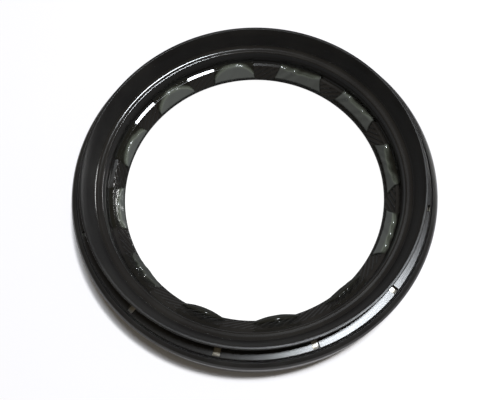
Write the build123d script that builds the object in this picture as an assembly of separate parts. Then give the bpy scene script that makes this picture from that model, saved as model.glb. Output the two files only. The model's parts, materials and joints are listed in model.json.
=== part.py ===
from build123d import *
import os
from math import atan2, cos, hypot, radians, sin

# Radial shaft seal, lying on its oil side with its air side up.
# Millimetres. The seal's axis is Z and it stands on z = 0.
# A section point is (radius, height, rounding of that corner).
# Each of its equal sectors has one notch, one dab of grease and the same number of ribs.

# Shaft, housing and heights
shaft_diameter = 75.0
lip_interference = 1.0
radial_section = 12.5
face_height = 10.4
side_lip_height = 5.1
sector_count = 12

# Steel case: an angle ring pressed from sheet
sheet = 1.2
bend_radius = 0.6
cover_wall = 1.3
face_wall = 1.4
foot_wall = 0.8

# Outside of the rubber, from the foot up to the face
lead_in_width = 1.0
lead_in_height = 1.6
band_drop = 1.6
step_width = 0.55
step_height = 0.7
shoulder_width = 1.0
shoulder_rise = 0.4
groove_width = 0.6
groove_depth = 0.5
band_round = 0.3
step_round = 0.12
shoulder_round = 0.08
groove_round = 0.05
face_round = 0.2

# Side lip, a flared ring on the face
side_lip_root_wall = 1.35
side_lip_tip_wall = 0.75
side_lip_lean = 2.0
side_lip_cove = 1.7
flare_height = 1.8
flare_lean = 0.2
side_lip_foot_round = 0.35
side_lip_edge_round = 0.12
side_lip_sweep = 4.0
side_lip_undercut = 0.2

# Nose round the flange's inner edge, and the throat under it
nose_wall = 1.0
nose_drop = 0.55
nose_round = 0.45
nose_floor = 0.55
bead_drop = 1.75
bead_step = 0.12
bead_lean = 0.22
slot_rise = 0.95
slot_size = 0.2
throat_lean = 0.65

# Sealing lip: shelf, air-side cone, contact land, toe and arm
shelf_height = 5.2
shelf_width = 0.9
shelf_rise = 0.3
cone_width = 2.65
contact_height = 1.9
contact_land = 0.35
toe_width = 1.2
toe_height = 0.45
arm_wall = 1.0
arm_lean = 0.1
arm_round = 1.4
root_chamfer = 1.2
root_round = 0.3
shelf_round = 0.1
toe_round = 0.3

# Helical pumping ribs on the cone
ribs_per_sector = 9
rib_turn = 10.0
rib_end_height = 0.15
rib_root = 0.3
rib_half_width = 0.85
rib_run_out = 0.45

# Notches in the face, left by the pins that hold the case in the mould
notch_start = 255.98
notch_width = 1.9
notch_length = 2.1
notch_rim = 0.2
notch_bite = 0.3

# Garter spring and its groove
spring_tube_radius = 0.95
spring_clearance = 0.04
spring_height = 2.35
spring_offset = 2.9
groove_mouth = 0.8
groove_mouth_round = 0.4
heel_wall = 0.9
heel_round = 0.5

# Grease dabs, packed at even spaces on the lip
dab_start = 5.8
dab_angle = 17.5
dab_thickness = 1.15
dab_rise = 0.8
dab_climb = 1.3
dab_bury = 0.5
dab_sections = 3

# Sizes that follow from the ones above
rib_count = sector_count * ribs_per_sector
seam_angle = dab_start + 180 / sector_count
housing_radius = shaft_diameter / 2 + radial_section
lip_radius = (shaft_diameter - lip_interference) / 2
case_radius = housing_radius - cover_wall
case_inner = case_radius - sheet
flange_top = face_height - face_wall
flange_bottom = flange_top - sheet
shelf_radius = lip_radius + cone_width
throat_radius = shelf_radius + shelf_width
nose_radius = throat_radius + throat_lean
bead_radius = nose_radius - bead_lean
flange_inner = nose_radius + nose_wall
nose_height = face_height - nose_drop
bead_height = nose_height - bead_drop
shelf_top = shelf_height + shelf_rise
face_corner = housing_radius - step_width - shoulder_width - groove_width
side_lip_root = nose_radius + nose_floor + side_lip_cove
spring_radius = lip_radius + spring_offset
spring_seat = spring_tube_radius + spring_clearance


def section_face(corners: list[tuple[float, float, float]]) -> Sketch:
    """The face of a closed section, with each corner's own rounding."""
    points = [(radius, height) for radius, height, _ in corners]
    return make_face(FilletPolyline(*points, radius=[corner[2] for corner in corners], close=True))


def turned(section: Sketch) -> Part:
    """The ring that a section sweeps about the axis, with its seam between two dabs."""
    return Rot(0, 0, seam_angle) * revolve(Plane.XZ * section, Axis.Z, 360)


def case_section() -> Sketch:
    """The pressed angle: a cylinder, a bend and a flange that points inwards."""
    return section_face([
        (case_inner, foot_wall, 0),
        (case_radius, foot_wall, 0),
        (case_radius, flange_top, bend_radius + sheet),
        (flange_inner, flange_top, 0),
        (flange_inner, flange_bottom, 0),
        (case_inner, flange_bottom, bend_radius),
    ])


def outer_corners() -> list[tuple[float, float, float]]:
    """The cover on the housing side, from the foot to the corner of the face."""
    step_top = face_height - band_drop + step_height
    shoulder_outer = housing_radius - step_width
    shoulder_inner = shoulder_outer - shoulder_width
    shoulder_top = step_top + shoulder_rise
    return [
        (case_inner, 0, 0),
        (housing_radius - lead_in_width, 0, 0),
        (housing_radius, lead_in_height, band_round),
        (housing_radius, face_height - band_drop, band_round),
        (shoulder_outer, step_top, step_round),
        (shoulder_inner, shoulder_top, shoulder_round),
        (shoulder_inner - groove_width / 2, shoulder_top - groove_depth, groove_round),
        (face_corner, face_height, face_round),
    ]


def side_lip_corners() -> list[tuple[float, float, float]]:
    """The side lip, up its outer flank, over its edge and down its cove to the nose."""
    top = face_height + side_lip_height
    edge = side_lip_root + side_lip_lean
    lean_share = 1 - flare_height / side_lip_height
    knee = side_lip_root + side_lip_lean * lean_share - flare_lean
    return [
        (side_lip_root + side_lip_root_wall, face_height, side_lip_foot_round),
        (edge + side_lip_tip_wall, top, side_lip_edge_round),
        (edge, top, side_lip_edge_round),
        (knee, top - flare_height, side_lip_sweep),
        (side_lip_root - side_lip_undercut, nose_height, side_lip_cove),
    ]


def throat_corners() -> list[tuple[float, float, float]]:
    """The bore side from the nose down to the shelf, with its bead."""
    return [
        (nose_radius, nose_height, nose_round),
        (bead_radius, bead_height, 0),
        (bead_radius - bead_step, bead_height - bead_step, 0),
        (throat_radius, shelf_top, shelf_round),
        (shelf_radius, shelf_height, shelf_round),
    ]


def throat_slot() -> Sketch:
    """The V of the fine slot that runs round the throat above the shelf."""
    lean = (bead_radius - bead_step - throat_radius) / (bead_height - bead_step - shelf_top)
    return Pos(throat_radius + lean * slot_rise, shelf_top + slot_rise) * RegularPolygon(slot_size, 4)


def lip_corners() -> list[tuple[float, float, float]]:
    """The sealing lip from its contact land round the toe, the groove and the arm."""
    groove_edge = spring_radius + groove_mouth
    arm = throat_radius + arm_wall
    arm_low = spring_height + spring_seat + heel_wall
    chamfer = min(root_chamfer, (flange_bottom - shelf_height) / 2)
    arm_top = flange_bottom - chamfer
    return [
        (lip_radius, contact_height, 0),
        (lip_radius, contact_height - contact_land, 0),
        (lip_radius + toe_width, toe_height, toe_round),
        (groove_edge, toe_height, groove_mouth_round),
        (groove_edge, arm_low, heel_round),
        (arm, shelf_height, min(arm_round, arm_top - shelf_height)),
        (arm + arm_lean, arm_top, root_round),
        (arm + root_chamfer, flange_bottom, 0),
        (arm + root_chamfer, flange_bottom + sheet / 2, 0),
        (case_inner + sheet / 2, flange_bottom + sheet / 2, 0),
        (case_inner + sheet / 2, foot_wall, 0),
        (case_inner, foot_wall, 0),
    ]


def rubber_section() -> Sketch:
    """The moulded section, less the steel in it, the spring's groove and the throat's slot."""
    corners = outer_corners() + side_lip_corners() + throat_corners() + lip_corners()
    groove = Pos(spring_radius, spring_height) * Circle(spring_seat)
    return section_face(corners) - case_section() - groove - throat_slot()


def cone_radius(height: float) -> float:
    """The radius of the lip's air-side cone at a height."""
    share = (height - contact_height) / (shelf_height - contact_height)
    return lip_radius + cone_width * share


def polar(radius: float, angle: float, height: float) -> tuple[float, float, float]:
    """A point from its radius, its angle in degrees and its height."""
    return (radius * cos(radians(angle)), radius * sin(radians(angle)), height)


def pumping_rib(start: float) -> Part:
    """One rib along a chord of its helix, so that it is highest halfway down the cone."""
    foot_height = contact_height + rib_run_out
    top = Vector(*polar(shelf_radius, start, shelf_height))
    foot = Vector(*polar(cone_radius(foot_height), start + rib_turn, foot_height))
    run = foot - top
    outward = Vector(*polar(contact_height - shelf_height, start + rib_turn / 2, cone_width))
    plane = Plane(top, x_dir=outward.cross(run), z_dir=run)
    ridge = Polyline((-rib_half_width, -rib_root), (0, rib_end_height), (rib_half_width, -rib_root), close=True)
    return extrude(plane * make_face(ridge), run.length)


def face_notch(angle: float) -> Part:
    """The space of one notch, from the flange's top out through the face."""
    outer = face_corner - notch_rim
    middle = outer - notch_length / 2
    depth = face_wall + notch_bite
    place = Rot(0, 0, angle) * Pos(middle, 0, face_height + notch_bite - depth / 2)
    return place * Box(notch_length, notch_width, depth)


def rubber_body() -> Part:
    """The one moulding: cover, face, side lip, sealing lip, ribs and notches."""
    body = turned(rubber_section())
    body -= [face_notch(notch_start + 360 * i / sector_count) for i in range(sector_count)]
    return body + [pumping_rib(360 * i / rib_count) for i in range(rib_count)]


def steel_case() -> Part:
    """The pressed angle ring that stiffens the seal."""
    return turned(case_section())


def garter_spring() -> Part:
    """The closed ring of the garter spring, as the envelope of its coils."""
    return turned(Pos(spring_radius, spring_height) * Circle(spring_tube_radius))


def grease_dab(angle: float, rubber: Part) -> Part:
    """One dab, domed over the cone and the shelf, and bedded on the rubber under it."""
    foot = (cone_radius(contact_height + dab_rise), contact_height + dab_rise)
    head = (throat_radius, shelf_height + dab_climb)
    run = hypot(head[0] - foot[0], head[1] - foot[1])
    slope = atan2(head[1] - foot[1], head[0] - foot[0])
    middle_radius = (foot[0] + head[0]) / 2
    middle_height = (foot[1] + head[1]) / 2
    tips = []
    sections = []
    for i in range(-dab_sections, dab_sections + 1):
        spread = radians(90 * i / dab_sections)
        size = cos(spread)
        turn = angle + dab_angle / 2 * sin(spread)
        place = polar(middle_radius, turn, middle_height)
        if abs(i) == dab_sections:
            tips.append(Vertex(*place))
            continue
        plane = Plane(place, x_dir=polar(cos(slope), turn, sin(slope)), z_dir=polar(1, turn - 90, 0))
        kept = Rectangle(run, (dab_thickness + dab_bury) * size)
        kept = Pos(0, (dab_thickness - dab_bury) * size / 2) * kept
        dome = Ellipse(run / 2 * size, dab_thickness * size) & kept
        sections.append((plane * dome).face())
    return loft([tips[0], *sections, tips[1]]) - rubber


os.makedirs("parts", exist_ok=True)
rubber = rubber_body()
export_step(rubber, "parts/rubber_body.step")
export_step(steel_case(), "parts/steel_case.step")
export_step(garter_spring(), "parts/garter_spring.step")
dab = grease_dab(dab_start, rubber)
for i in range(sector_count):
    export_step(Rot(0, 0, 360 * i / sector_count) * dab, f"parts/grease_dab_{i + 1:02d}.step")
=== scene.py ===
"""A radial shaft seal lying on a pale table: its rubber, steel, wound spring and dabs of grease."""

import json
import logging
import math
import random
from dataclasses import dataclass, field, replace
from enum import Enum
from typing import Callable, Iterable, NamedTuple

import bpy
from mathutils import Matrix, Vector


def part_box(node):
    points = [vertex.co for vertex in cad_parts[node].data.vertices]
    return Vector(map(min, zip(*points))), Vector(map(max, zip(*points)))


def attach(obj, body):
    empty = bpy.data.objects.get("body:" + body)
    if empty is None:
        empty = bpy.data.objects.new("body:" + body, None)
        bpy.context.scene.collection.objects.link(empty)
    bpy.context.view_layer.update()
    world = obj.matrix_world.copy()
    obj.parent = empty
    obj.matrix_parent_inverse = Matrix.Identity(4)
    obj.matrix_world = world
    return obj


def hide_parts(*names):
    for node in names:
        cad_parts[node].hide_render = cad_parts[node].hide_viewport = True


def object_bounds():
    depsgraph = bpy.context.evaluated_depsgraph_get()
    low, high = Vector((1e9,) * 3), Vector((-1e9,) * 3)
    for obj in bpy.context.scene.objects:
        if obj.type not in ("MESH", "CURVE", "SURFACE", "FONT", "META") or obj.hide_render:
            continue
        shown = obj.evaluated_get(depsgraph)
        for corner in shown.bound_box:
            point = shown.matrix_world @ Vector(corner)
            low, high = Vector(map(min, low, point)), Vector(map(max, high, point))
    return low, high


MM = 0.001
BODY = "root"

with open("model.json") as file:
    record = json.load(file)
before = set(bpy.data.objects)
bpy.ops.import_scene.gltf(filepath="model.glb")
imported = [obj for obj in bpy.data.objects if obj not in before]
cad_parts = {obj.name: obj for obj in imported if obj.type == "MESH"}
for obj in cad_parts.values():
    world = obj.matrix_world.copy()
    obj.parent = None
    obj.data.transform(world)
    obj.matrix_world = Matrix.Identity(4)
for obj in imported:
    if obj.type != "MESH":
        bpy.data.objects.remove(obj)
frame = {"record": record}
cad_low, cad_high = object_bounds()
log = logging.getLogger("shaft_seal")


class Slot(Enum):
    """The names of the record's material slots."""

    RUBBER = "rubber"
    CASE = "case_steel"
    SPRING = "spring_steel"
    GREASE = "grease"


class Corner(NamedTuple):
    """A corner of a section, in millimetres, with its rounding and the turn of its row in degrees."""

    radius: float
    height: float
    rounding: float = 0.0
    twist: float = 0.0


def polar(radius: float, angle: float, height: float) -> Vector:
    """A point in metres from a radius in millimetres, an angle in degrees and a height."""
    turn = math.radians(angle)
    return Vector((radius * math.cos(turn), radius * math.sin(turn), height)) * MM


def smooth_step(value: float) -> float:
    """The share from 0 to 1 with soft ends."""
    share = min(max(value, 0.0), 1.0)
    return share * share * (3 - 2 * share)


def rounded(corners: list[Corner], bend_step: float) -> list[Corner]:
    """Turns each corner with a rounding into an arc.

    Args:
        corners: the closed section's corners in order.
        bend_step: the largest turn between two points of an arc, in degrees.

    Returns:
        The points of the section, as corners with no rounding.
    """
    points = []
    for index, corner in enumerate(corners):
        before, after = corners[index - 1], corners[(index + 1) % len(corners)]
        if corner.rounding <= 0:
            points.append(corner)
            continue
        here = Vector((corner.radius, corner.height))
        back = (Vector((before.radius, before.height)) - here).normalized()
        ahead = (Vector((after.radius, after.height)) - here).normalized()
        half = math.acos(max(-1.0, min(1.0, back.dot(ahead)))) / 2
        centre = here + (back + ahead).normalized() * corner.rounding / math.sin(half)
        start = here + back * corner.rounding / math.tan(half) - centre
        end = here + ahead * corner.rounding / math.tan(half) - centre
        turn = start.angle_signed(end)
        steps = max(2, math.ceil(math.degrees(abs(turn)) / bend_step))
        for step in range(steps + 1):
            angle = -turn * step / steps
            arm = Matrix.Rotation(angle, 2) @ start
            points.append(Corner(centre.x + arm.x, centre.y + arm.y, 0.0, corner.twist))
    return points


class Modelling:
    """Steps of modelling by hand that every piece shares."""

    @staticmethod
    def clear_selection() -> None:
        """Leaves no object selected, in object mode."""
        if bpy.context.object and bpy.context.object.mode != "OBJECT":
            bpy.ops.object.mode_set(mode="OBJECT")
        bpy.ops.object.select_all(action="DESELECT")

    @staticmethod
    def ring_of_points(name: str, points: list[Vector]) -> bpy.types.Object:
        """Adds a circle primitive with a vertex for each point and shapes it to them.

        Args:
            name: the name of the object and of its mesh.
            points: the section's points in order, in metres.

        Returns:
            The new object, a closed line.
        """
        Modelling.clear_selection()
        bpy.ops.mesh.primitive_circle_add(vertices=len(points), radius=MM)
        piece = bpy.context.object
        piece.name = piece.data.name = name
        for vertex, point in zip(piece.data.vertices, points):
            vertex.co = point
        return piece

    @staticmethod
    def spin_round(piece: bpy.types.Object, steps: int, merge: float) -> None:
        """Spins a closed section once about Z, welds the seam and turns the faces outwards.

        Args:
            piece: the closed line.
            steps: how many steps go round.
            merge: how near two points are that become one, in metres.
        """
        bpy.ops.object.mode_set(mode="EDIT")
        bpy.ops.mesh.select_all(action="SELECT")
        bpy.ops.mesh.spin(steps=steps, angle=2 * math.pi, center=(0, 0, 0), axis=(0, 0, 1))
        bpy.ops.mesh.select_all(action="SELECT")
        bpy.ops.mesh.remove_doubles(threshold=merge)
        bpy.ops.mesh.normals_make_consistent(inside=False)
        bpy.ops.mesh.select_all(action="DESELECT")
        bpy.ops.object.mode_set(mode="OBJECT")

    @staticmethod
    def select_vertices(piece: bpy.types.Object, chosen: Callable[[Vector], bool]) -> None:
        """Selects the vertices that a test chooses and nothing else, in object mode.

        Args:
            piece: the object whose mesh is gone through.
            chosen: the test, which gets the place of each vertex in metres.
        """
        for polygon in piece.data.polygons:
            polygon.select = False
        for edge in piece.data.edges:
            edge.select = False
        for vertex in piece.data.vertices:
            vertex.select = chosen(vertex.co)

    @staticmethod
    def select_faces(piece: bpy.types.Object, chosen: Callable[[Vector], bool]) -> None:
        """Selects the faces that a test chooses and nothing else, in object mode.

        Args:
            piece: the object whose mesh is gone through.
            chosen: the test, which gets the middle of each face in metres.
        """
        for vertex in piece.data.vertices:
            vertex.select = False
        for edge in piece.data.edges:
            edge.select = False
        for polygon in piece.data.polygons:
            polygon.select = chosen(polygon.center)

    @staticmethod
    def smooth(piece: bpy.types.Object, angle: float) -> None:
        """Shades a piece smooth, with creases sharper than an angle in degrees left crisp.

        Args:
            piece: the object to shade.
            angle: the sharpest turn that is smoothed, in degrees.
        """
        Modelling.clear_selection()
        piece.select_set(True)
        bpy.context.view_layer.objects.active = piece
        bpy.ops.object.shade_smooth_by_angle(angle=math.radians(angle))
        piece.select_set(False)


@dataclass(frozen=True)
class SealSizes:
    """The seal's sizes in millimetres. What the frame knows is read from it, and the rest is set here."""

    housing_radius: float
    overall_height: float
    lip_radius: float
    case_radius: float
    case_foot: float
    flange_top: float
    spring_radius: float
    spring_tube_radius: float
    spring_height: float
    face_height: float = 10.4
    sheet: float = 1.2
    bend_radius: float = 0.6
    contact_height: float = 1.9
    contact_land: float = 0.35
    cone_width: float = 2.65
    shelf_height: float = 5.2
    shelf_width: float = 0.9
    shelf_rise: float = 0.17
    throat_lean: float = 0.65
    nose_wall: float = 1.0
    nose_drop: float = 0.55
    sector_count: int = 12
    notch_start: float = 255.98
    dab_start: float = 5.8

    @staticmethod
    def from_frame() -> "SealSizes":
        """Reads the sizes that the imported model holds.

        Returns:
            The sizes, in millimetres.
        """
        mounts = {mount["name"]: mount for mount in frame["record"]["mounts"]}
        case_low, case_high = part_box("steel_case")
        spring_low, spring_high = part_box("garter_spring")
        tube = (spring_high.z - spring_low.z) / 2
        return SealSizes(
            housing_radius=mounts["housing_fit"]["dims"]["r_mm"],
            overall_height=cad_high.z / MM,
            lip_radius=mounts["shaft_lip"]["dims"]["r_mm"],
            case_radius=case_high.x / MM,
            case_foot=case_low.z / MM,
            flange_top=case_high.z / MM,
            spring_radius=(spring_high.x - tube) / MM,
            spring_tube_radius=tube / MM,
            spring_height=(spring_high.z + spring_low.z) / 2 / MM,
        )

    @property
    def flange_bottom(self) -> float:
        """The underside of the case's flange."""
        return self.flange_top - self.sheet

    @property
    def case_inner(self) -> float:
        """The inside of the case's cylinder."""
        return self.case_radius - self.sheet

    @property
    def shelf_radius(self) -> float:
        """The inner edge of the shelf, where the cone ends."""
        return self.lip_radius + self.cone_width

    @property
    def throat_radius(self) -> float:
        """The outer edge of the shelf, where the throat starts."""
        return self.shelf_radius + self.shelf_width

    @property
    def nose_radius(self) -> float:
        """The bore side of the nose."""
        return self.throat_radius + self.throat_lean

    @property
    def nose_height(self) -> float:
        """The top of the nose."""
        return self.face_height - self.nose_drop

    @property
    def flange_inner(self) -> float:
        """The inner edge of the case's flange."""
        return self.nose_radius + self.nose_wall

    def on_cone(self, share: float) -> tuple[float, float]:
        """The radius and height on the cone, from its shelf at 0 to its contact edge at 1."""
        height = self.shelf_height + (self.contact_height - self.shelf_height) * share
        return self.shelf_radius - self.cone_width * share, height


@dataclass
class RubberBody:
    """The one rubber moulding: cover, face with notches, side lip, nose, throat and ribbed sealing lip."""

    sizes: SealSizes
    bend_step: float = 24.0
    ribs_per_sector: int = 9
    columns_per_rib: int = 6
    crest_columns: tuple[int, ...] = (1, 2)
    rib_turn: float = 10.0
    rib_height: float = 0.21
    nose_round: float = 0.5
    rib_rows: int = 7
    notch_columns: int = 2
    notch_inner: float = 45.55
    notch_outer: float = 47.65
    lead_in_width: float = 1.0
    lead_in_height: float = 1.6
    band_drop: float = 1.6
    step_width: float = 0.55
    step_height: float = 0.7
    shoulder_width: float = 1.0
    shoulder_rise: float = 0.4
    groove_width: float = 0.6
    groove_depth: float = 0.5
    side_lip_root_wall: float = 1.35
    side_lip_tip_wall: float = 0.75
    side_lip_lean: float = 2.0
    side_lip_cove: float = 1.2
    nose_floor: float = 0.8
    flare_height: float = 1.8
    flare_lean: float = 0.2
    bead_drop: float = 1.75
    bead_step: float = 0.12
    slot_rise: float = 0.95
    slot_size: float = 0.2
    toe_width: float = 1.2
    toe_height: float = 0.45
    groove_mouth: float = 0.8
    heel_wall: float = 0.9
    arm_wall: float = 1.0
    root_chamfer: float = 1.2
    spring_clearance: float = 0.04
    band_round: float = 0.3
    step_round: float = 0.12
    shoulder_round: float = 0.08
    groove_round: float = 0.05
    face_round: float = 0.15
    side_lip_foot_round: float = 0.35
    side_lip_outer_round: float = 0.12
    side_lip_inner_round: float = 0.15
    side_lip_sweep: float = 4.0
    side_lip_undercut: float = 0.2
    wall_lean_share: float = 1 / 3
    bead_round: float = 0.1
    bead_step_round: float = 0.05
    slot_floor_round: float = 0.04
    slot_mouth_round: float = 0.06
    shelf_foot_round: float = 0.15
    shelf_edge_round: float = 0.08
    toe_round: float = 0.3
    groove_mouth_round: float = 0.4
    groove_steps: int = 14
    heel_round: float = 0.5
    arm_round: float = 1.5
    arm_lean: float = 0.1
    root_round: float = 0.3
    heel_twist: float = 0.7
    arm_twist: float = 0.4
    root_twist: float = 0.2
    crest_start: float = 0.04
    crest_end: float = 0.9
    cone_margin: float = 0.02
    level_margin: float = 0.05
    weld: float = 0.002
    crease_angle: float = 50.0

    @property
    def columns(self) -> int:
        """How many steps the section takes to go round."""
        return self.sizes.sector_count * self.ribs_per_sector * self.columns_per_rib

    @property
    def column_angle(self) -> float:
        """The turn from one step to the next, in degrees."""
        return 360 / self.columns

    def outer_side(self) -> list[Corner]:
        """The cover on the housing side, from the foot to the face.

        Returns:
            The corners in order.
        """
        s = self.sizes
        shoulder_outer = s.housing_radius - self.step_width
        shoulder_inner = shoulder_outer - self.shoulder_width
        step_top = s.face_height - self.band_drop + self.step_height
        shoulder_top = step_top + self.shoulder_rise
        groove_floor = shoulder_top - self.groove_depth
        return [
            Corner(s.case_inner, 0),
            Corner(s.housing_radius - self.lead_in_width, 0),
            Corner(s.housing_radius, self.lead_in_height, self.band_round),
            Corner(s.housing_radius, s.face_height - self.band_drop, self.band_round),
            Corner(shoulder_outer, step_top, self.step_round),
            Corner(shoulder_inner, shoulder_top, self.shoulder_round),
            Corner(shoulder_inner - self.groove_width / 2, groove_floor, self.groove_round),
            Corner(shoulder_inner - self.groove_width, s.face_height, self.face_round),
            Corner(self.notch_outer, s.face_height),
            Corner(self.notch_inner, s.face_height),
        ]

    def side_lip(self) -> list[Corner]:
        """The side lip, up its outer flank and down its cove.

        Returns:
            The corners in order.
        """
        s = self.sizes
        root = s.nose_radius + self.nose_floor + self.side_lip_cove
        edge = root + self.side_lip_lean
        rise = s.overall_height - s.face_height
        knee = root + self.side_lip_lean * (1 - self.flare_height / rise) - self.flare_lean
        return [
            Corner(root + self.side_lip_root_wall, s.face_height, self.side_lip_foot_round),
            Corner(edge + self.side_lip_tip_wall, s.overall_height, self.side_lip_outer_round),
            Corner(edge, s.overall_height, self.side_lip_inner_round),
            Corner(knee, s.overall_height - self.flare_height, self.side_lip_sweep),
            Corner(root - self.side_lip_undercut, s.nose_height, self.side_lip_cove),
        ]

    def throat(self) -> list[Corner]:
        """The bore side from the nose down to the shelf.

        Returns:
            The corners in order.
        """
        s = self.sizes
        bead = s.nose_height - self.bead_drop
        slot = s.shelf_height + s.shelf_rise + self.slot_rise
        wall = s.nose_radius - s.throat_lean * self.wall_lean_share
        under = wall - self.bead_step * 2
        return [
            Corner(s.nose_radius, s.nose_height, self.nose_round),
            Corner(wall, bead, self.bead_round),
            Corner(wall - self.bead_step, bead - self.bead_step, self.bead_step_round),
            Corner(under, slot + self.slot_size / 2, self.bead_step_round),
            Corner(under + self.slot_size, slot, self.slot_floor_round),
            Corner(under, slot - self.slot_size, self.slot_mouth_round),
            Corner(s.throat_radius, s.shelf_height + s.shelf_rise, self.shelf_foot_round),
            Corner(s.shelf_radius, s.shelf_height, self.shelf_edge_round),
        ]

    def cone(self) -> list[Corner]:
        """The rows down the cone, each turned on by its share of the ribs' turn.

        Returns:
            The corners in order, with no rounding.
        """
        rows = []
        for row in range(1, self.rib_rows + 1):
            share = row / (self.rib_rows + 1)
            radius, height = self.sizes.on_cone(share)
            rows.append(Corner(radius, height, 0.0, self.rib_turn * share))
        return rows

    def sealing_lip(self) -> list[Corner]:
        """The contact land, the toe, the spring's groove and the arm up to the case.

        Returns:
            The corners in order.
        """
        s = self.sizes
        mouth = s.spring_radius + self.groove_mouth
        seat = s.spring_tube_radius + self.spring_clearance
        half_mouth = math.degrees(math.acos(self.groove_mouth / seat))
        heel = s.spring_height + seat + self.heel_wall
        arm = s.throat_radius + self.arm_wall
        root = s.flange_bottom - self.root_chamfer
        turn = self.rib_turn
        groove = []
        for step in range(self.groove_steps + 1):
            angle = math.radians(-half_mouth - (360 - 2 * half_mouth) * step / self.groove_steps)
            radius = s.spring_radius + seat * math.cos(angle)
            groove.append(Corner(radius, s.spring_height + seat * math.sin(angle), 0.0, turn))
        return [
            Corner(s.lip_radius, s.contact_height, 0.0, turn),
            Corner(s.lip_radius, s.contact_height - s.contact_land, 0.0, turn),
            Corner(s.lip_radius + self.toe_width, self.toe_height, self.toe_round, turn),
            Corner(mouth, self.toe_height, self.groove_mouth_round, turn),
            *groove,
            Corner(mouth, heel, self.heel_round, turn * self.heel_twist),
            Corner(arm, s.shelf_height, self.arm_round, turn * self.arm_twist),
            Corner(arm + self.arm_lean, root, self.root_round, turn * self.root_twist),
            Corner(arm + self.root_chamfer, s.flange_bottom),
        ]

    def round_the_case(self) -> list[Corner]:
        """The moulding's inside, which grips the steel from under the flange to the foot.

        Returns:
            The corners in order.
        """
        s = self.sizes
        return [
            Corner(s.flange_inner, s.flange_bottom),
            Corner(s.flange_inner, s.flange_top),
            Corner(self.notch_inner, s.flange_top),
            Corner(self.notch_outer, s.flange_top),
            Corner(s.case_radius, s.flange_top, s.bend_radius),
            Corner(s.case_radius, s.case_foot),
            Corner(s.case_inner, s.case_foot),
        ]

    def section(self) -> list[Vector]:
        """The whole closed section in metres, with its rows turned for the ribs.

        Returns:
            The section's points in order.
        """
        corners = self.outer_side() + self.side_lip() + self.throat() + self.cone()
        corners += self.sealing_lip() + self.round_the_case()
        points = rounded(corners, self.bend_step)
        start = self.sizes.notch_start
        return [polar(point.radius, start + point.twist, point.height) for point in points]

    def raise_ribs(self, piece: bpy.types.Object) -> None:
        """Lifts the crests of the helical ribs out of the cone.

        Args:
            piece: the spun moulding.
        """
        s = self.sizes

        def on_crest(place: Vector) -> bool:
            """Whether a point of the cone lies on a rib's crest.

            Args:
                place: the point, in metres.

            Returns:
                True for a point that the ribs lift.
            """
            radius, height = math.hypot(place.x, place.y) / MM, place.z / MM
            share = (s.shelf_height - height) / (s.shelf_height - s.contact_height)
            if not self.crest_start < share < self.crest_end:
                return False
            if abs(radius - s.on_cone(share)[0]) > self.cone_margin:
                return False
            turn = math.degrees(math.atan2(place.y, place.x)) - s.notch_start - self.rib_turn * share
            return round(turn / self.column_angle) % self.columns_per_rib in self.crest_columns

        Modelling.select_vertices(piece, on_crest)
        bpy.ops.object.mode_set(mode="EDIT")
        bpy.ops.transform.shrink_fatten(value=self.rib_height * MM, use_even_offset=False)
        bpy.ops.mesh.select_all(action="DESELECT")
        bpy.ops.object.mode_set(mode="OBJECT")

    def in_notch(self, place: Vector, level: float) -> bool:
        """Whether the middle of a face on a level lies inside a notch.

        Args:
            place: the middle of the face, in metres.
            level: the height of the level, in millimetres.

        Returns:
            True for a face that the notches take.
        """
        if abs(place.z / MM - level) > self.level_margin:
            return False
        if not self.notch_inner < math.hypot(place.x, place.y) / MM < self.notch_outer:
            return False
        sector = 360 / self.sizes.sector_count
        turn = math.degrees(math.atan2(place.y, place.x)) - self.sizes.notch_start
        return abs((turn + sector / 2) % sector - sector / 2) < self.column_angle * self.notch_columns

    def cut_notches(self, piece: bpy.types.Object) -> None:
        """Opens the notches from the face down to the steel, with their walls.

        Args:
            piece: the spun moulding.
        """
        face, steel = self.sizes.face_height, self.sizes.flange_top
        Modelling.select_faces(piece, lambda place: self.in_notch(place, face))
        bpy.ops.object.mode_set(mode="EDIT")
        bpy.ops.mesh.extrude_region_move(TRANSFORM_OT_translate={"value": (0, 0, (steel - face) * MM)})
        bpy.ops.object.mode_set(mode="OBJECT")
        Modelling.select_faces(piece, lambda place: self.in_notch(place, steel))
        bpy.ops.object.mode_set(mode="EDIT")
        bpy.ops.mesh.delete(type="FACE")
        bpy.ops.mesh.select_all(action="SELECT")
        bpy.ops.mesh.remove_doubles(threshold=self.weld * MM)
        bpy.ops.mesh.normals_make_consistent(inside=False)
        bpy.ops.mesh.select_all(action="DESELECT")
        bpy.ops.object.mode_set(mode="OBJECT")

    def build(self) -> bpy.types.Object:
        """Models the moulding.

        Returns:
            The piece, which stands in for the CAD node rubber_body and hides it.
        """
        section = self.section()
        piece = Modelling.ring_of_points("rubber_moulding", section)
        Modelling.spin_round(piece, self.columns, self.weld * MM)
        self.raise_ribs(piece)
        self.cut_notches(piece)
        Modelling.smooth(piece, self.crease_angle)
        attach(piece, BODY)
        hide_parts("rubber_body")
        log.info("rubber: %d section points, %d faces", len(section), len(piece.data.polygons))
        return piece


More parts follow.
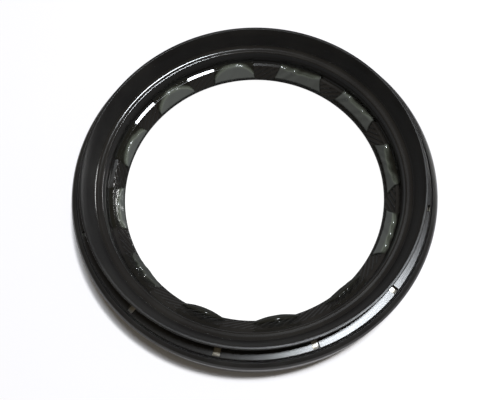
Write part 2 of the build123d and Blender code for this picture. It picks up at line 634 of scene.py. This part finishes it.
@dataclass
class SteelCase:
    """The pressed angle ring inside the rubber, seen in the notches and from the oil side."""

    sizes: SealSizes
    columns: int = 240
    bend_step: float = 12.0
    edge_round: float = 0.12
    weld: float = 0.002
    crease_angle: float = 40.0

    def build(self) -> bpy.types.Object:
        """Models the ring, which stands in for the CAD node steel_case and hides it.

        Returns:
            The piece.
        """
        s = self.sizes
        edge = self.edge_round
        corners = [
            Corner(s.case_inner, s.case_foot, edge),
            Corner(s.case_radius, s.case_foot, edge),
            Corner(s.case_radius, s.flange_top, s.bend_radius + s.sheet),
            Corner(s.flange_inner, s.flange_top, edge),
            Corner(s.flange_inner, s.flange_bottom, edge),
            Corner(s.case_inner, s.flange_bottom, s.bend_radius),
        ]
        points = [polar(point.radius, 0, point.height) for point in rounded(corners, self.bend_step)]
        piece = Modelling.ring_of_points("pressed_case", points)
        Modelling.spin_round(piece, self.columns, self.weld * MM)
        Modelling.smooth(piece, self.crease_angle)
        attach(piece, BODY)
        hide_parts("steel_case")
        log.info("steel case: %d faces", len(piece.data.polygons))
        return piece


@dataclass
class GarterSpring:
    """The garter spring: a close-wound coil joined into a ring, with a waist where its nib is screwed."""

    sizes: SealSizes
    wire: float = 0.34
    points_per_turn: int = 10
    pitch: float = 0.36
    nib_angle: float = 200.0
    nib_width: float = 4.0
    nib_waist: float = 0.12

    def build(self) -> bpy.types.Object:
        """Winds the coil along its ring, which stands in for the CAD node garter_spring and hides it.

        Returns:
            The piece.
        """
        s = self.sizes
        turns = round(2 * math.pi * s.spring_radius / self.pitch)
        count = turns * self.points_per_turn
        winding = s.spring_tube_radius - self.wire / 2
        Modelling.clear_selection()
        bpy.ops.curve.primitive_nurbs_circle_add(radius=s.spring_radius * MM)
        piece = bpy.context.object
        piece.name = piece.data.name = "garter_coil"
        piece.data.splines.clear()
        spline = piece.data.splines.new("POLY")
        spline.points.add(count - 1)
        for index in range(count):
            along = 360 * index / count
            turn = 2 * math.pi * index / self.points_per_turn
            apart = abs((along - self.nib_angle + 180) % 360 - 180)
            waist = self.nib_waist * (1 - smooth_step(apart / self.nib_width))
            out, rise = (winding - waist) * math.cos(turn), (winding - waist) * math.sin(turn)
            spline.points[index].co = (*polar(s.spring_radius + out, along, s.spring_height + rise), 1)
        spline.use_cyclic_u = True
        piece.data.dimensions = "3D"
        piece.data.bevel_depth = self.wire / 2 * MM
        piece.data.bevel_resolution = 1
        piece.data.use_fill_caps = False
        bpy.ops.object.convert(target="MESH")
        piece = bpy.context.object
        bpy.ops.object.shade_smooth()
        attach(piece, BODY)
        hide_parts("garter_spring")
        log.info("garter spring: %d turns, %d faces", turns, len(piece.data.polygons))
        return piece


@dataclass(frozen=True)
class DabShape:
    """The form of a dab, in millimetres up and out from the rubber, and how pale and how clear it is; its
    paleness also paints shade and reflection on some dabs.
    """

    foot: float = 0.3
    top: float = 4.9
    arch: float = 3.0
    flare: float = 1.4
    thickness: float = 0.55
    film_top: float = 7.4
    pale: float = 1.0
    horn: float = 0.0
    ragged: float = 2.0
    cover: float = 0.75
    taper: float = 0.0


SPREAD = DabShape(
    foot=1.2, arch=0.3, flare=3.2, thickness=0.5, film_top=6.6, pale=0.8, horn=0.7, ragged=3.0, cover=0.6
)
# The near-side dabs are painted dark as shade, though their heaps are thick.
SHADED_NEAR_DAB = DabShape(
    foot=0.5, top=3.2, arch=1.5, flare=1.0, thickness=1.1, film_top=6.6, pale=0.01, ragged=4.0, cover=0.2,
    taper=1.0,
)
# Paleness differs from dab to dab; the low values on the near-side dabs 8 to 11 are painted shade, and the
# high one on dab 7 at the left a painted reflection.
DAB_SHAPES = {
    1: replace(SPREAD, top=4.4, flare=5.0, horn=1.0),
    2: SPREAD,
    3: replace(SPREAD, foot=0.6, film_top=7.2),
    4: DabShape(top=4.9),
    5: DabShape(top=4.3, pale=1.1),
    6: DabShape(top=3.3, arch=1.6, pale=1.25),
    7: DabShape(top=2.6, arch=0.9, pale=1.5),
    8: replace(SHADED_NEAR_DAB, pale=0.4),
    9: replace(SHADED_NEAR_DAB, thickness=1.9),
    10: replace(SHADED_NEAR_DAB, thickness=1.8),
    11: SHADED_NEAR_DAB,
    12: replace(SPREAD, pale=1.3, top=4.4, film_top=6.0, horn=0.1),
}


class Wave(NamedTuple):
    """One slow wave on a dab: how fast it runs, where it starts and how deep it is in millimetres."""

    rate: float
    start: float
    depth: float

    def height(self, along: float) -> float:
        """The wave's height at a place along it."""
        return self.depth * math.sin(self.rate * along + self.start)


@dataclass
class GreaseDab:
    """One dab of grease: a smooth heap over the lip's cone and shelf, and a film up the throat above it."""

    sizes: SealSizes
    number: int
    half_angle: float = 9.0
    film: float = 0.24
    film_foot: float = 0.12
    rim: float = 0.7
    ridge: float = 0.06
    ridge_width: float = 0.55
    bury: float = 0.06
    across: int = 60
    up: int = 56
    seed_step: int = 7
    seed_start: int = 3
    lean_range: float = 0.6
    width_range: tuple[float, float] = (0.97, 1.04)
    top_range: float = 0.25
    wave_count: int = 5
    wave_rates: tuple[float, float] = (1.5, 5)
    wave_starts: tuple[float, float] = (0, 6.3)
    wave_depths: tuple[float, float] = (0.01, 0.03)
    wave_across: float = 3.0
    wave_up: float = 0.4
    arch_power: float = 2.5
    side_fade: float = 2.5
    top_fade: float = 2.0
    foot_fade: float = 12.0
    solid_rate: float = 2.0
    throat_gap: float = 0.02
    throat_bend: float = 0.45
    bead_gap: float = 0.2
    bead_bend: float = 1.3
    nose_gap: float = 0.45
    nose_drop: float = 1.8
    crease_angle: float = 60.0

    def bed(self) -> list[tuple[float, float]]:
        """The line of the rubber under the dab, from the lip's edge up the cone and the throat.

        Returns:
            The radius and height of its bends, in millimetres.
        """
        s = self.sizes
        shelf_top = s.shelf_height + s.shelf_rise
        return [
            (s.lip_radius, s.contact_height),
            (s.shelf_radius, s.shelf_height),
            (s.throat_radius + self.throat_gap, shelf_top + self.throat_bend),
            (s.throat_radius + self.bead_gap, shelf_top + self.bead_bend),
            (s.nose_radius - self.nose_gap, s.nose_height - self.nose_drop),
        ]

    def on_bed(self, length: float) -> tuple[float, float, float, float]:
        """A place on the bed.

        Args:
            length: the way up from the lip's edge, in millimetres.

        Returns:
            Its radius and height, and the two parts of the direction out of the rubber.
        """
        line = self.bed()
        left = length
        for (r0, z0), (r1, z1) in zip(line, line[1:]):
            run = math.hypot(r1 - r0, z1 - z0)
            if left <= run or (r1, z1) == line[-1]:
                break
            left -= run
        share = left / run
        return r0 + (r1 - r0) * share, z0 + (z1 - z0) * share, -(z1 - z0) / run, (r1 - r0) / run

    def slab(self) -> bpy.types.Object:
        """Adds a flat slab two units across, with a fine grid on its top and on its underside.

        Returns:
            The new object, ready to be laid on the rubber.
        """
        Modelling.clear_selection()
        bpy.ops.mesh.primitive_grid_add(x_subdivisions=self.across, y_subdivisions=self.up, size=2)
        piece = bpy.context.object
        piece.name = piece.data.name = f"grease_{self.number:02d}"
        bpy.ops.object.mode_set(mode="EDIT")
        bpy.ops.mesh.select_all(action="SELECT")
        bpy.ops.mesh.extrude_region_move(TRANSFORM_OT_translate={"value": (0, 0, 1)})
        bpy.ops.mesh.normals_make_consistent(inside=False)
        bpy.ops.object.mode_set(mode="OBJECT")
        return piece

    def lay(self, piece: bpy.types.Object) -> None:
        """Bends the slab to the rubber, heaps up its top, and gives it the colours that its finish reads.

        Args:
            piece: the flat slab.
        """
        shape = DAB_SHAPES[self.number]
        chance = random.Random(self.number * self.seed_step + self.seed_start)
        middle = self.sizes.dab_start + 360 / self.sizes.sector_count * (self.number - 1)
        lean = chance.uniform(-self.lean_range, self.lean_range)
        width = self.half_angle * chance.uniform(*self.width_range)
        top = shape.top + chance.uniform(-self.top_range, self.top_range)
        limits = (self.wave_rates, self.wave_starts, self.wave_depths)
        waves = [Wave(*(chance.uniform(*pair) for pair in limits)) for _ in range(self.wave_count)]
        look = piece.data.color_attributes.new(name="grease_look", type="FLOAT_COLOR", domain="POINT")
        for vertex in piece.data.vertices:
            u, v, upper = vertex.co.x, (vertex.co.y + 1) / 2, vertex.co.z > 0.5
            climb = self.film_foot + v * (shape.film_top - self.film_foot)
            side = width + shape.flare * (1 - v) ** 2
            wave = sum(each.height(u * self.wave_across + climb * self.wave_up) for each in waves)
            ragged = wave * shape.ragged
            reach = top - shape.arch * abs(u) ** self.arch_power + shape.horn * (2 * u * u - 1) + ragged
            edge = (1 - abs(u)) * math.radians(side) * self.sizes.shelf_radius
            inside = min(edge, climb - shape.foot, reach - climb)
            share = min(max(inside / self.rim, 0.0), 1.0)
            heap = (shape.thickness + wave) * math.sqrt(1 - (1 - share) ** 2) * (1 - shape.taper * u * u)
            crest_highlight = math.exp(-((reach - climb) / self.ridge_width) ** 2) * min(edge, 1.0)
            fade = (shape.film_top + ragged - climb) / self.top_fade
            cover = smooth_step(min(edge * self.side_fade, fade, v * self.foot_fade))
            radius, height, out_r, out_z = self.on_bed(climb)
            lift = max(heap, self.film * cover) + self.ridge * crest_highlight if upper else -self.bury
            turn = middle + u * side + lean * (v - 0.5)
            vertex.co = polar(radius + out_r * lift, turn, height + out_z * lift)
            # The dab's paleness here also carries the painted shade and reflection set in DAB_SHAPES.
            pale = smooth_step(share) * shape.pale
            solid = max(cover * shape.cover, smooth_step(share * self.solid_rate))
            # Blue carries a painted highlight along the dab's top crest.
            look.data[vertex.index].color = (pale, solid, crest_highlight * shape.pale, 1)

    def build(self) -> bpy.types.Object:
        """Models the dab, which stands for the CAD node of the same number.

        Returns:
            The piece.
        """
        piece = self.slab()
        self.lay(piece)
        Modelling.smooth(piece, self.crease_angle)
        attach(piece, BODY)
        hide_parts(f"grease_dab_{self.number:02d}")
        return piece


class Effect:
    """Shader node groups for the effects that more than one finish uses."""

    @staticmethod
    def start(name: str, values: dict[str, float], outputs: Iterable[str]) -> bpy.types.NodeTree:
        """Makes an empty group.

        Args:
            name: the group's name.
            values: the number inputs with their first values.
            outputs: the names of the number outputs.

        Returns:
            The group, with a Position input ahead of the numbers.
        """
        group = bpy.data.node_groups.new(name, "ShaderNodeTree")
        group.interface.new_socket("Position", in_out="INPUT", socket_type="NodeSocketVector")
        for label, value in values.items():
            socket = group.interface.new_socket(label, in_out="INPUT", socket_type="NodeSocketFloat")
            socket.default_value = value
        for label in outputs:
            group.interface.new_socket(label, in_out="OUTPUT", socket_type="NodeSocketFloat")
        return group

    @staticmethod
    def turning_marks() -> bpy.types.NodeTree:
        """Fine rings about the seal's axis, as its mould was turned, with an uneven depth.

        Returns:
            The group.
        """
        group = Effect.start("turning_marks", {"Density": 4000.0}, ["Height"])
        nodes, links = group.nodes, group.links
        given, made = nodes.new("NodeGroupInput"), nodes.new("NodeGroupOutput")
        flat = nodes.new("ShaderNodeVectorMath")
        flat.operation = "MULTIPLY"
        flat.inputs[1].default_value = (1, 1, 0)
        far = nodes.new("ShaderNodeVectorMath")
        far.operation = "LENGTH"
        scaled = nodes.new("ShaderNodeMath")
        scaled.operation = "MULTIPLY"
        rings = nodes.new("ShaderNodeTexNoise")
        rings.noise_dimensions = "1D"
        rings.inputs["Scale"].default_value = 1.0
        rings.inputs["Detail"].default_value = 3.0
        links.new(given.outputs["Position"], flat.inputs[0])
        links.new(flat.outputs[0], far.inputs[0])
        links.new(far.outputs["Value"], scaled.inputs[0])
        links.new(given.outputs["Density"], scaled.inputs[1])
        links.new(scaled.outputs[0], rings.inputs["W"])
        links.new(rings.outputs["Fac"], made.inputs["Height"])
        return group

    @staticmethod
    def mottle() -> bpy.types.NodeTree:
        """Soft uneven patches from 0 to 1, for films, stains and handling marks.

        Returns:
            The group.
        """
        group = Effect.start("mottle", {"Scale": 200.0, "Low": 0.4, "High": 0.65}, ["Mask"])
        nodes, links = group.nodes, group.links
        given, made = nodes.new("NodeGroupInput"), nodes.new("NodeGroupOutput")
        noise = nodes.new("ShaderNodeTexNoise")
        noise.inputs["Detail"].default_value = 4.0
        spread = nodes.new("ShaderNodeMapRange")
        spread.interpolation_type = "SMOOTHSTEP"
        links.new(given.outputs["Position"], noise.inputs["Vector"])
        links.new(given.outputs["Scale"], noise.inputs["Scale"])
        links.new(noise.outputs["Fac"], spread.inputs["Value"])
        links.new(given.outputs["Low"], spread.inputs["From Min"])
        links.new(given.outputs["High"], spread.inputs["From Max"])
        links.new(spread.outputs["Result"], made.inputs["Mask"])
        return group


class Finish:
    """A material under construction: a Principled shader, Object coordinates and links by name."""

    def __init__(self, name: str) -> None:
        """Starts a material with its shader and its coordinates.

        Args:
            name: the material's name.
        """
        self.material = bpy.data.materials.new(name)
        self.material.use_nodes = True
        self.nodes = self.material.node_tree.nodes
        self.links = self.material.node_tree.links
        self.shader = self.nodes["Principled BSDF"]
        self.place = self.nodes.new("ShaderNodeTexCoord").outputs["Object"]

    def set(self, **values: float | tuple[float, ...]) -> None:
        """Sets sockets of the shader that are the same all over the surface."""
        for label, value in values.items():
            self.shader.inputs[label.replace("_", " ")].default_value = value

    def effect(self, group: bpy.types.NodeTree, output: str, **values: float) -> bpy.types.NodeSocket:
        """Places an effect group with its own values and gives one of its outputs.

        Args:
            group: the effect.
            output: the name of the output.
            values: the group's inputs and what they are set to.

        Returns:
            The output's socket.
        """
        node = self.nodes.new("ShaderNodeGroup")
        node.node_tree = group
        self.links.new(self.place, node.inputs["Position"])
        for label, value in values.items():
            node.inputs[label].default_value = value
        return node.outputs[output]

    def blend(
        self,
        share: bpy.types.NodeSocket,
        low: tuple[float, ...] | bpy.types.NodeSocket,
        high: tuple[float, ...],
    ) -> bpy.types.NodeSocket:
        """A colour that goes from low to high with a share from 0 to 1.

        Args:
            share: the share's socket.
            low: the colour at 0, fixed or a socket.
            high: the colour at 1.

        Returns:
            The colour's socket.
        """
        mix = self.nodes.new("ShaderNodeMix")
        mix.data_type = "RGBA"
        if isinstance(low, bpy.types.NodeSocket):
            self.links.new(low, mix.inputs["A"])
        else:
            mix.inputs["A"].default_value = (*low, 1)
        mix.inputs["B"].default_value = (*high, 1)
        self.links.new(share, mix.inputs["Factor"])
        return mix.outputs["Result"]

    def mix(
        self, share: bpy.types.NodeSocket, low: float, high: bpy.types.NodeSocket
    ) -> bpy.types.NodeSocket:
        """A number that goes from a fixed one to a changing one with a share from 0 to 1.

        Args:
            share: the share's socket.
            low: the number at 0.
            high: the socket of the number at 1.

        Returns:
            The number's socket.
        """
        blend = self.nodes.new("ShaderNodeMix")
        blend.inputs["A"].default_value = low
        self.links.new(high, blend.inputs["B"])
        self.links.new(share, blend.inputs["Factor"])
        return blend.outputs["Result"]

    def sum(
        self, kind: str, left: bpy.types.NodeSocket, right: bpy.types.NodeSocket
    ) -> bpy.types.NodeSocket:
        """A number worked out from two others.

        Args:
            kind: the Math node's operation.
            left: the first number's socket.
            right: the second number's socket.

        Returns:
            The result's socket.
        """
        node = self.nodes.new("ShaderNodeMath")
        node.operation = kind
        self.links.new(left, node.inputs[0])
        self.links.new(right, node.inputs[1])
        return node.outputs[0]

    def beyond(self, radius: float, fade: float) -> bpy.types.NodeSocket:
        """A share that is 0 inside a radius from the seal's axis, in metres, and 1 a fade further out.

        Args:
            radius: where the share starts to rise.
            fade: how far it takes to rise.

        Returns:
            The share's socket.
        """
        flat = self.nodes.new("ShaderNodeVectorMath")
        flat.operation = "MULTIPLY"
        flat.inputs[1].default_value = (1, 1, 0)
        far = self.nodes.new("ShaderNodeVectorMath")
        far.operation = "LENGTH"
        spread = self.nodes.new("ShaderNodeMapRange")
        spread.inputs["From Min"].default_value = radius
        spread.inputs["From Max"].default_value = radius + fade
        self.links.new(self.place, flat.inputs[0])
        self.links.new(flat.outputs[0], far.inputs[0])
        self.links.new(far.outputs["Value"], spread.inputs["Value"])
        return spread.outputs["Result"]

    def band(self, inner: float, outer: float, fade: float) -> bpy.types.NodeSocket:
        """A share that is 1 between two radii from the seal's axis, in metres, and 0 a fade past each."""
        past = self.range(self.beyond(outer, fade), 1.0, 0.0)
        return self.sum("MULTIPLY", self.beyond(inner - fade, fade), past)

    def carried(self, name: str) -> tuple[bpy.types.NodeSocket, bpy.types.NodeSocket, bpy.types.NodeSocket]:
        """The three values of a colour attribute that the mesh carries.

        Args:
            name: the attribute's name.

        Returns:
            The sockets of its red, green and blue.
        """
        attribute = self.nodes.new("ShaderNodeAttribute")
        attribute.attribute_name = name
        parts = self.nodes.new("ShaderNodeSeparateColor")
        self.links.new(attribute.outputs["Color"], parts.inputs["Color"])
        return parts.outputs["Red"], parts.outputs["Green"], parts.outputs["Blue"]

    def range(self, share: bpy.types.NodeSocket, low: float, high: float) -> bpy.types.NodeSocket:
        """A number that goes from low to high with a share from 0 to 1.

        Args:
            share: the share's socket.
            low: the number at 0.
            high: the number at 1.

        Returns:
            The number's socket.
        """
        spread = self.nodes.new("ShaderNodeMapRange")
        spread.inputs["To Min"].default_value = low
        spread.inputs["To Max"].default_value = high
        self.links.new(share, spread.inputs["Value"])
        return spread.outputs["Result"]

    def feed(self, label: str, source: bpy.types.NodeSocket) -> None:
        """Links a socket of the shader."""
        self.links.new(source, self.shader.inputs[label])

    def bump(self, height: bpy.types.NodeSocket, strength: float, distance: float) -> None:
        """Feeds the shader's normal from a height, on top of any bump that it has.

        Args:
            height: the height's socket.
            strength: how much of it shows, from 0 to 1.
            distance: how deep a full height is, in millimetres.
        """
        node = self.nodes.new("ShaderNodeBump")
        node.inputs["Strength"].default_value = strength
        node.inputs["Distance"].default_value = distance * MM
        self.links.new(height, node.inputs["Height"])
        if self.shader.inputs["Normal"].is_linked:
            self.links.new(self.shader.inputs["Normal"].links[0].from_socket, node.inputs["Normal"])
        self.feed("Normal", node.outputs["Normal"])


@dataclass(frozen=True)
class RubberFinish:
    """Black moulded rubber: satin, oiled round the bore, smoother on its face. Its radii are in metres."""

    deep: tuple[float, float, float] = (0.0105, 0.01, 0.0102)
    bloom: tuple[float, float, float] = (0.0165, 0.0158, 0.015)
    gloss: float = 0.34
    dull: float = 0.44
    oiled: float = 0.16
    pressed: float = 0.2
    coat: float = 0.8
    oiled_lip: float = 1.0
    oiled_nose: float = 1.9
    face_start: float = 0.0458
    face_end: float = 0.0479
    fade: float = 0.0003
    level: float = 0.5

    def material(
        self, sizes: SealSizes, marks: bpy.types.NodeTree, mottle: bpy.types.NodeTree
    ) -> bpy.types.Material:
        """Makes the material from the shared effects, oiled on the shelf and on the nose.

        Args:
            sizes: the sizes that say where the shelf and the nose are.
            marks: the turning marks.
            mottle: the uneven patches.

        Returns:
            The material.
        """
        made = Finish("black_rubber")
        made.set(IOR=1.5, Coat_Roughness=0.07)
        patches = made.effect(mottle, "Mask", Scale=90.0, Low=0.35, High=0.7)
        made.feed("Base Color", made.blend(patches, self.deep, self.bloom))
        shelf = made.band((sizes.lip_radius - self.oiled_lip) * MM, sizes.throat_radius * MM, self.fade)
        nose = made.band(sizes.nose_radius * MM, (sizes.nose_radius + self.oiled_nose) * MM, self.fade)
        dry = made.range(made.sum("MAXIMUM", shelf, nose), 1.0, 0.0)
        satin = made.mix(dry, self.oiled, made.range(patches, self.gloss, self.dull))
        face = made.band(self.face_start, self.face_end, self.fade)
        made.feed("Roughness", made.mix(made.range(face, 1.0, 0.0), self.pressed, satin))
        made.feed("Coat Weight", made.range(dry, self.coat, 0.0))
        turned = made.mix(face, self.level, made.effect(marks, "Height", Density=5000.0))
        made.bump(turned, strength=0.12, distance=0.03)
        grain = made.effect(mottle, "Mask", Scale=2500.0, Low=0.3, High=0.7)
        made.bump(made.mix(dry, self.level, grain), strength=0.05, distance=0.02)
        return made.material


@dataclass(frozen=True)
class SteelFinish:
    """Pressed steel with a thin bonding coat, a little warm and blotchy."""

    coat: tuple[float, float, float] = (0.62, 0.57, 0.46)
    bare: tuple[float, float, float] = (0.7, 0.69, 0.66)
    coat_roughness: float = 0.42
    bare_roughness: float = 0.3

    def material(self, marks: bpy.types.NodeTree, mottle: bpy.types.NodeTree) -> bpy.types.Material:
        """Makes the material from the shared effects.

        Args:
            marks: the turning marks.
            mottle: the uneven patches.

        Returns:
            The material.
        """
        made = Finish("pressed_steel")
        made.set(Metallic=0.85)
        patches = made.effect(mottle, "Mask", Scale=160.0, Low=0.4, High=0.6)
        made.feed("Base Color", made.blend(patches, self.coat, self.bare))
        made.feed("Roughness", made.range(patches, self.coat_roughness, self.bare_roughness))
        made.bump(made.effect(marks, "Height", Density=2500.0), strength=0.15, distance=0.02)
        return made.material


@dataclass(frozen=True)
class SpringFinish:
    """Bright drawn wire with a film of oil."""

    wire: tuple[float, float, float] = (0.58, 0.58, 0.57)
    oiled: tuple[float, float, float] = (0.42, 0.41, 0.36)
    wire_roughness: float = 0.22
    oiled_roughness: float = 0.38

    def material(self, mottle: bpy.types.NodeTree) -> bpy.types.Material:
        """Makes the material from the shared effect.

        Args:
            mottle: the uneven patches.

        Returns:
            The material.
        """
        made = Finish("spring_wire")
        made.set(Metallic=1.0)
        patches = made.effect(mottle, "Mask", Scale=500.0, Low=0.35, High=0.65)
        made.feed("Base Color", made.blend(patches, self.wire, self.oiled))
        made.feed("Roughness", made.range(patches, self.wire_roughness, self.oiled_roughness))
        return made.material


@dataclass(frozen=True)
class GreaseFinish:
    """Wet grease: pale grey where it is thick, with a paler rim painted along each dab's top crest as a
    highlight, and a clear olive film where it is thin.
    """

    olive: tuple[float, float, float] = (0.01, 0.0102, 0.0075)
    pale: tuple[float, float, float] = (0.104, 0.111, 0.105)
    # The rim colour is a painted highlight along each dab's top crest.
    rim: tuple[float, float, float] = (0.22, 0.245, 0.2)
    painted_highlight_share: float = 0.5
    smoothest: float = 0.16
    roughest: float = 0.28

    def material(self, mottle: bpy.types.NodeTree) -> bpy.types.Material:
        """Makes the material from the shared effect and the look that each dab's mesh carries.

        Args:
            mottle: the uneven patches.

        Returns:
            The material.
        """
        made = Finish("wet_grease")
        made.set(IOR=1.5, Coat_Weight=0.6, Coat_Roughness=0.04)
        thick, cover, crest_highlight = made.carried("grease_look")
        patches = made.effect(mottle, "Mask", Scale=350.0, Low=0.3, High=0.7)
        body = made.blend(thick, self.olive, self.pale)
        # The crest's share paints the paler highlight colour there.
        made.feed("Base Color", made.blend(made.range(crest_highlight, 0.0, self.painted_highlight_share), body, self.rim))
        made.feed("Alpha", cover)
        made.feed("Roughness", made.range(patches, self.smoothest, self.roughest))
        dimples = made.effect(mottle, "Mask", Scale=700.0, Low=0.2, High=0.8)
        made.bump(dimples, strength=0.1, distance=0.05)
        return made.material


@dataclass(frozen=True)
class Lamp:
    """A soft lamp: where it stands as seen from the seal, in degrees, its size in metres and its watts."""

    name: str
    azimuth: float
    elevation: float
    width: float
    depth: float
    power: float
    distance: float = 1.2
    colour: tuple[float, float, float] = (1.0, 1.0, 1.0)
    glossy: bool = True
    diffuse: bool = True

    def hang(self) -> None:
        """Adds the lamp, turned towards the seal."""
        turn, rise = math.radians(self.azimuth), math.radians(self.elevation)
        away = Vector((math.cos(turn) * math.cos(rise), math.sin(turn) * math.cos(rise), math.sin(rise)))
        Modelling.clear_selection()
        bpy.ops.object.light_add(type="AREA", location=away * self.distance)
        lamp = bpy.context.object
        lamp.name = self.name
        lamp.rotation_mode = "QUATERNION"
        lamp.rotation_quaternion = away.to_track_quat("Z", "Y")
        lamp.data.shape = "ELLIPSE"
        lamp.data.size = self.width
        lamp.data.size_y = self.depth
        lamp.data.energy = self.power
        lamp.data.color = self.colour
        lamp.visible_glossy = self.glossy
        lamp.visible_diffuse = self.diffuse


@dataclass
class Studio:
    """The pale table, the lamps, the world and the camera at the photo's angle, placed in millimetres."""

    eye: tuple[float, float, float] = (0.0, -59.93, 150.33)
    look_at: tuple[float, float, float] = (-0.815, -1.81, -1.21)
    roll: float = -4.0996
    lens: float = 40.0
    sensor: float = 36.0
    nearest: float = 0.01
    table_colour: tuple[float, float, float] = (0.9, 0.89, 0.91)
    table_lift: float = 0.02
    # The table's colour inside the seal's bore: a painted shade.
    painted_bore_shade: tuple[float, float, float] = (0.12, 0.12, 0.12)
    bare_radius: float = 0.0395
    table_half: float = 1500.0
    world_colour: tuple[float, float, float] = (1.0, 0.86, 0.66)
    world_strength: float = 0.1
    lamps: list[Lamp] = field(default_factory=lambda: [
        Lamp("window", azimuth=22, elevation=73, width=0.12, depth=0.12, power=9.0, glossy=False),
        Lamp(
            "ceiling_lamp", azimuth=39, elevation=78, width=0.17, depth=0.3, power=7.0, colour=(0.9, 0.95, 1.0)
        ),
        Lamp("low_window", azimuth=23, elevation=6, width=0.4, depth=0.3, power=4.0, diffuse=False),
    ])

    def place_camera(self) -> None:
        """Sets the camera where the photo was taken from."""
        eye, target = Vector(self.eye) * MM, Vector(self.look_at) * MM
        Modelling.clear_selection()
        bpy.ops.object.camera_add(location=eye)
        camera = bpy.context.object
        camera.name = "photo_camera"
        back = (eye - target).normalized()
        right = Vector((0, 0, 1)).cross(back).normalized()
        up = back.cross(right)
        turn = math.radians(self.roll)
        rolled_right = right * math.cos(turn) + up * math.sin(turn)
        rolled_up = up * math.cos(turn) - right * math.sin(turn)
        axes = Matrix((rolled_right, rolled_up, back)).transposed()
        camera.rotation_mode = "QUATERNION"
        camera.rotation_quaternion = axes.to_quaternion()
        camera.data.lens = self.lens
        camera.data.sensor_width = self.sensor
        camera.data.sensor_fit = "HORIZONTAL"
        camera.data.clip_start = self.nearest
        bpy.context.scene.camera = camera

    def lay_table(self) -> None:
        """Adds the pale table, which shows white to the camera and keeps the shadow; inside the seal's bore
        its colour is a painted shade that the rubber reflects.
        """
        Modelling.clear_selection()
        bpy.ops.mesh.primitive_plane_add(size=2 * self.table_half * MM)
        table = bpy.context.object
        table.name = "pale_table"
        made = Finish("pale_table_top")
        made.set(Roughness=0.6, IOR=1.3)
        path = made.nodes.new("ShaderNodeLightPath")
        seen = made.sum("MAXIMUM", path.outputs["Is Camera Ray"], path.outputs["Is Glossy Ray"])
        seen = made.sum("MAXIMUM", seen, path.outputs["Is Transmission Ray"])
        # Inside the seal's bore the table's colour is darkened as painted shade, which the rubber and grease
        # reflect; the camera still sees it white.
        hole = made.range(made.beyond(self.bare_radius, MM), 1.0, 0.0)
        made.feed("Base Color", made.blend(hole, self.table_colour, self.painted_bore_shade))
        bare = made.sum("MULTIPLY", hole, path.outputs["Is Camera Ray"])
        made.set(Emission_Color=(1, 1, 1, 1))
        made.feed("Emission Strength", made.sum("MAXIMUM", made.range(seen, 0.0, self.table_lift), bare))
        table.data.materials.append(made.material)

    def light_world(self) -> None:
        """Fills the world with a plain faint light, which the camera sees as white."""
        world = bpy.data.worlds.new("plain_room")
        bpy.context.scene.world = world
        world.use_nodes = True
        nodes, links = world.node_tree.nodes, world.node_tree.links
        background = nodes["Background"]
        path = nodes.new("ShaderNodeLightPath")
        tint = nodes.new("ShaderNodeMix")
        tint.data_type = "RGBA"
        tint.inputs["A"].default_value = (*(part * self.world_strength for part in self.world_colour), 1)
        tint.inputs["B"].default_value = (1, 1, 1, 1)
        links.new(path.outputs["Is Camera Ray"], tint.inputs["Factor"])
        links.new(tint.outputs["Result"], background.inputs["Color"])

    def build(self) -> None:
        """Sets up everything round the seal."""
        self.place_camera()
        self.lay_table()
        self.light_world()
        for lamp in self.lamps:
            lamp.hang()
        bpy.context.scene.view_settings.view_transform = "Standard"


def dress(piece: bpy.types.Object, material: bpy.types.Material) -> None:
    """Gives a piece its one material."""
    piece.data.materials.clear()
    piece.data.materials.append(material)


def main() -> None:
    """Builds the studio and every piece of the seal, and reports each one."""
    logging.basicConfig(level=logging.INFO, format="%(name)s: %(message)s")
    Studio().build()
    sizes = SealSizes.from_frame()
    marks, mottle = Effect.turning_marks(), Effect.mottle()
    dress(RubberBody(sizes).build(), RubberFinish().material(sizes, marks, mottle))
    dress(SteelCase(sizes).build(), SteelFinish().material(marks, mottle))
    dress(GarterSpring(sizes).build(), SpringFinish().material(mottle))
    grease = GreaseFinish().material(mottle)
    for number in range(1, sizes.sector_count + 1):
        dress(GreaseDab(sizes, number).build(), grease)
    log.info("grease: %d dabs", sizes.sector_count)


if __name__ == "__main__":
    main()
